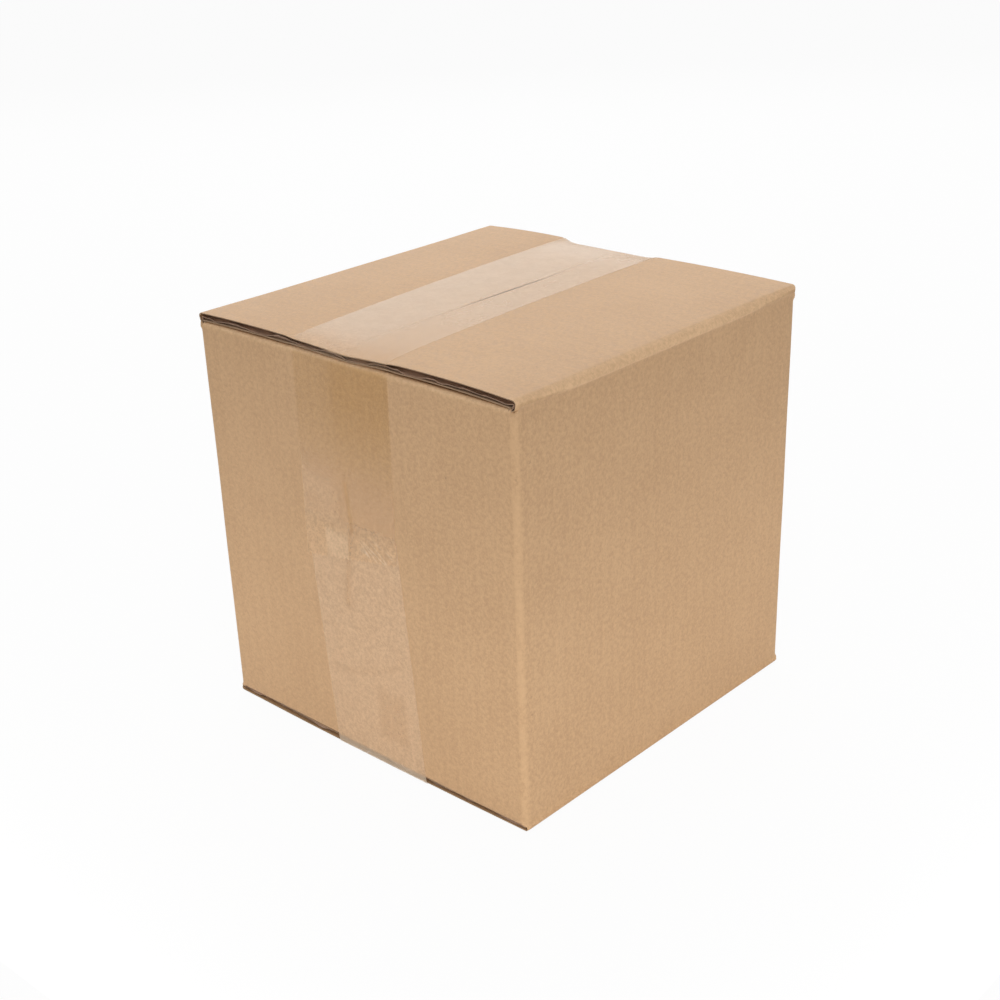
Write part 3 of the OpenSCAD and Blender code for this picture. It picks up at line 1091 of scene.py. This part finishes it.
def seen_directly(n):
    """1 for rays from the camera, off a mirror or through glass."""
    path = n.add("ShaderNodeLightPath")
    seen = n.math("MAXIMUM", path.outputs["Is Camera Ray"], path.outputs["Is Glossy Ray"])
    return n.math("MAXIMUM", seen, path.outputs["Is Transmission Ray"])


def floor():
    """Pale floor that takes shadows and, where it is seen, glows nearly white."""
    n = Nodes("floor_white")
    cloth = n.add("ShaderNodeBsdfDiffuse")
    n.set(cloth.inputs[0], (FLOOR_WHITE, FLOOR_WHITE, FLOOR_WHITE, 1.0))
    glow = n.add("ShaderNodeEmission")
    material = n.finish(n.blend(n.math("MULTIPLY", seen_directly(n), FLOOR_GLOW), cloth, glow))
    bm = bmesh.new()
    bmesh.ops.create_grid(bm, x_segments=1, y_segments=1, size=FLOOR_REACH)
    piece = new_piece("floor", bm, [material])


def world():
    """White where it is seen, and dimmer as a light."""
    scene_world = bpy.data.worlds.new("studio")
    bpy.context.scene.world = scene_world
    scene_world.use_nodes = True
    tree = scene_world.node_tree
    background = tree.nodes["Background"]
    path = tree.nodes.new("ShaderNodeLightPath")
    seen = path.outputs["Is Camera Ray"]
    for name in ("Is Glossy Ray", "Is Transmission Ray"):
        either = tree.nodes.new("ShaderNodeMath")
        either.operation = "MAXIMUM"
        tree.links.new(seen, either.inputs[0])
        tree.links.new(path.outputs[name], either.inputs[1])
        seen = either.outputs[0]
    level = tree.nodes.new("ShaderNodeMapRange")
    level.inputs["To Min"].default_value = WORLD_LIGHT
    tree.links.new(seen, level.inputs["Value"])
    tree.links.new(level.outputs[0], background.inputs["Strength"])
    background.inputs["Color"].default_value = (1.0, 1.0, 1.0, 1.0)


def softbox(name, place, aim, size, power, mirrored=False):
    """Area lamp at place, in metres, turned towards aim."""
    data = bpy.data.lights.new(name, "AREA")
    data.shape = "RECTANGLE"
    data.size, data.size_y = size
    data.energy = power
    lamp = bpy.data.objects.new(name, data)
    bpy.context.scene.collection.objects.link(lamp)
    lamp.location = place
    lamp.rotation_euler = (Vector(aim) - Vector(place)).to_track_quat("-Z", "Y").to_euler()
    lamp.visible_camera = False
    lamp.visible_glossy = mirrored


def lights():
    softbox("key", (0.95, -0.95, 1.25), (0, 0, 0.08), (0.9, 0.9), 8.6)
    softbox("overhead", (0.0, 0.0, 1.3), (0, 0, 0.1), (1.4, 1.4), 6.5)
    softbox("behind", (-0.85, 0.92, 0.78), (0, 0, 0.16), (1.5, 0.9), 7.2, True)
    softbox("front_low", (0.0, -0.24, 0.015), (0, -0.08, 0.0), (0.7, 0.04), 0.24)
    softbox("right_low", (0.24, 0.0, 0.015), (0.08, 0, 0.0), (0.7, 0.04), 0.24)


# The camera, in metres, fitted to the outline and the edges of the box in the photograph
CAMERA_PLACE = (0.39417, -0.42824, 0.33601)
CAMERA_AZIMUTH = math.radians(42.847)
CAMERA_ELEVATION = math.radians(25.958)
CAMERA_ROLL = math.radians(-1.902)
CAMERA_LENS = 57.280
CAMERA_SHIFT = (-0.0023, 0.0640)


def camera():
    sa, ca = math.sin(CAMERA_AZIMUTH), math.cos(CAMERA_AZIMUTH)
    se, ce = math.sin(CAMERA_ELEVATION), math.cos(CAMERA_ELEVATION)
    back = Vector((sa * ce, -ca * ce, se))
    right = Vector((ca, sa, 0))
    up = back.cross(right)
    c, s = math.cos(CAMERA_ROLL), math.sin(CAMERA_ROLL)
    right, up = c * right + s * up, c * up - s * right
    turn = Matrix((right, up, back)).transposed()
    data = bpy.data.cameras.new("camera")
    data.lens = CAMERA_LENS
    data.shift_x, data.shift_y = CAMERA_SHIFT
    data.clip_start = 0.01
    eye = bpy.data.objects.new("camera", data)
    bpy.context.scene.collection.objects.link(eye)
    eye.matrix_world = Matrix.Translation(CAMERA_PLACE) @ turn.to_4x4()
    bpy.context.scene.camera = eye


def carton():
    kraft = kraft_material()
    cut = cut_material("board_cut_edge", CUT_EDGE, 0.7)
    medium = cut_material("fluted_medium", MEDIUM, 0.65)
    pieces = [
        liner("outer_liner", 0.0, [kraft, cut]),
        liner("inner_liner", BOARD_T - LINER_T, [cut]),
        fluting([medium]),
    ]
    for piece in pieces:
        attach(piece, "root")
        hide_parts("box")


def tapes():
    top_look = {
        "sheen": top_sheen,
        # On top of the box the tape's haze and its paleness are partly a painted reflection
        "haze_and_reflection": top_haze_and_reflection,
        "pale_and_reflection": top_pale_and_reflection,
        "wet": top_wet,
        "wrinkle": top_wrinkle,
    }
    bottom_look = {
        "sheen": bottom_sheen,
        "haze_and_reflection": bottom_haze,
        "pale_and_reflection": bottom_pale,
        "wet": bottom_wet,
        "wrinkle": bottom_wrinkle,
    }
    top = film("top_film", top_film_line, film_material("clear_tape_top"), top_look)
    bottom = film("bottom_film", bottom_film_line, film_material("clear_tape_bottom"), bottom_look)
    for piece, node in ((top, "top_tape"), (bottom, "bottom_tape")):
        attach(piece, "root")
        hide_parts(node)


camera()
carton()
tapes()
floor()
world()
lights()
bpy.context.scene.view_settings.view_transform = "Standard"
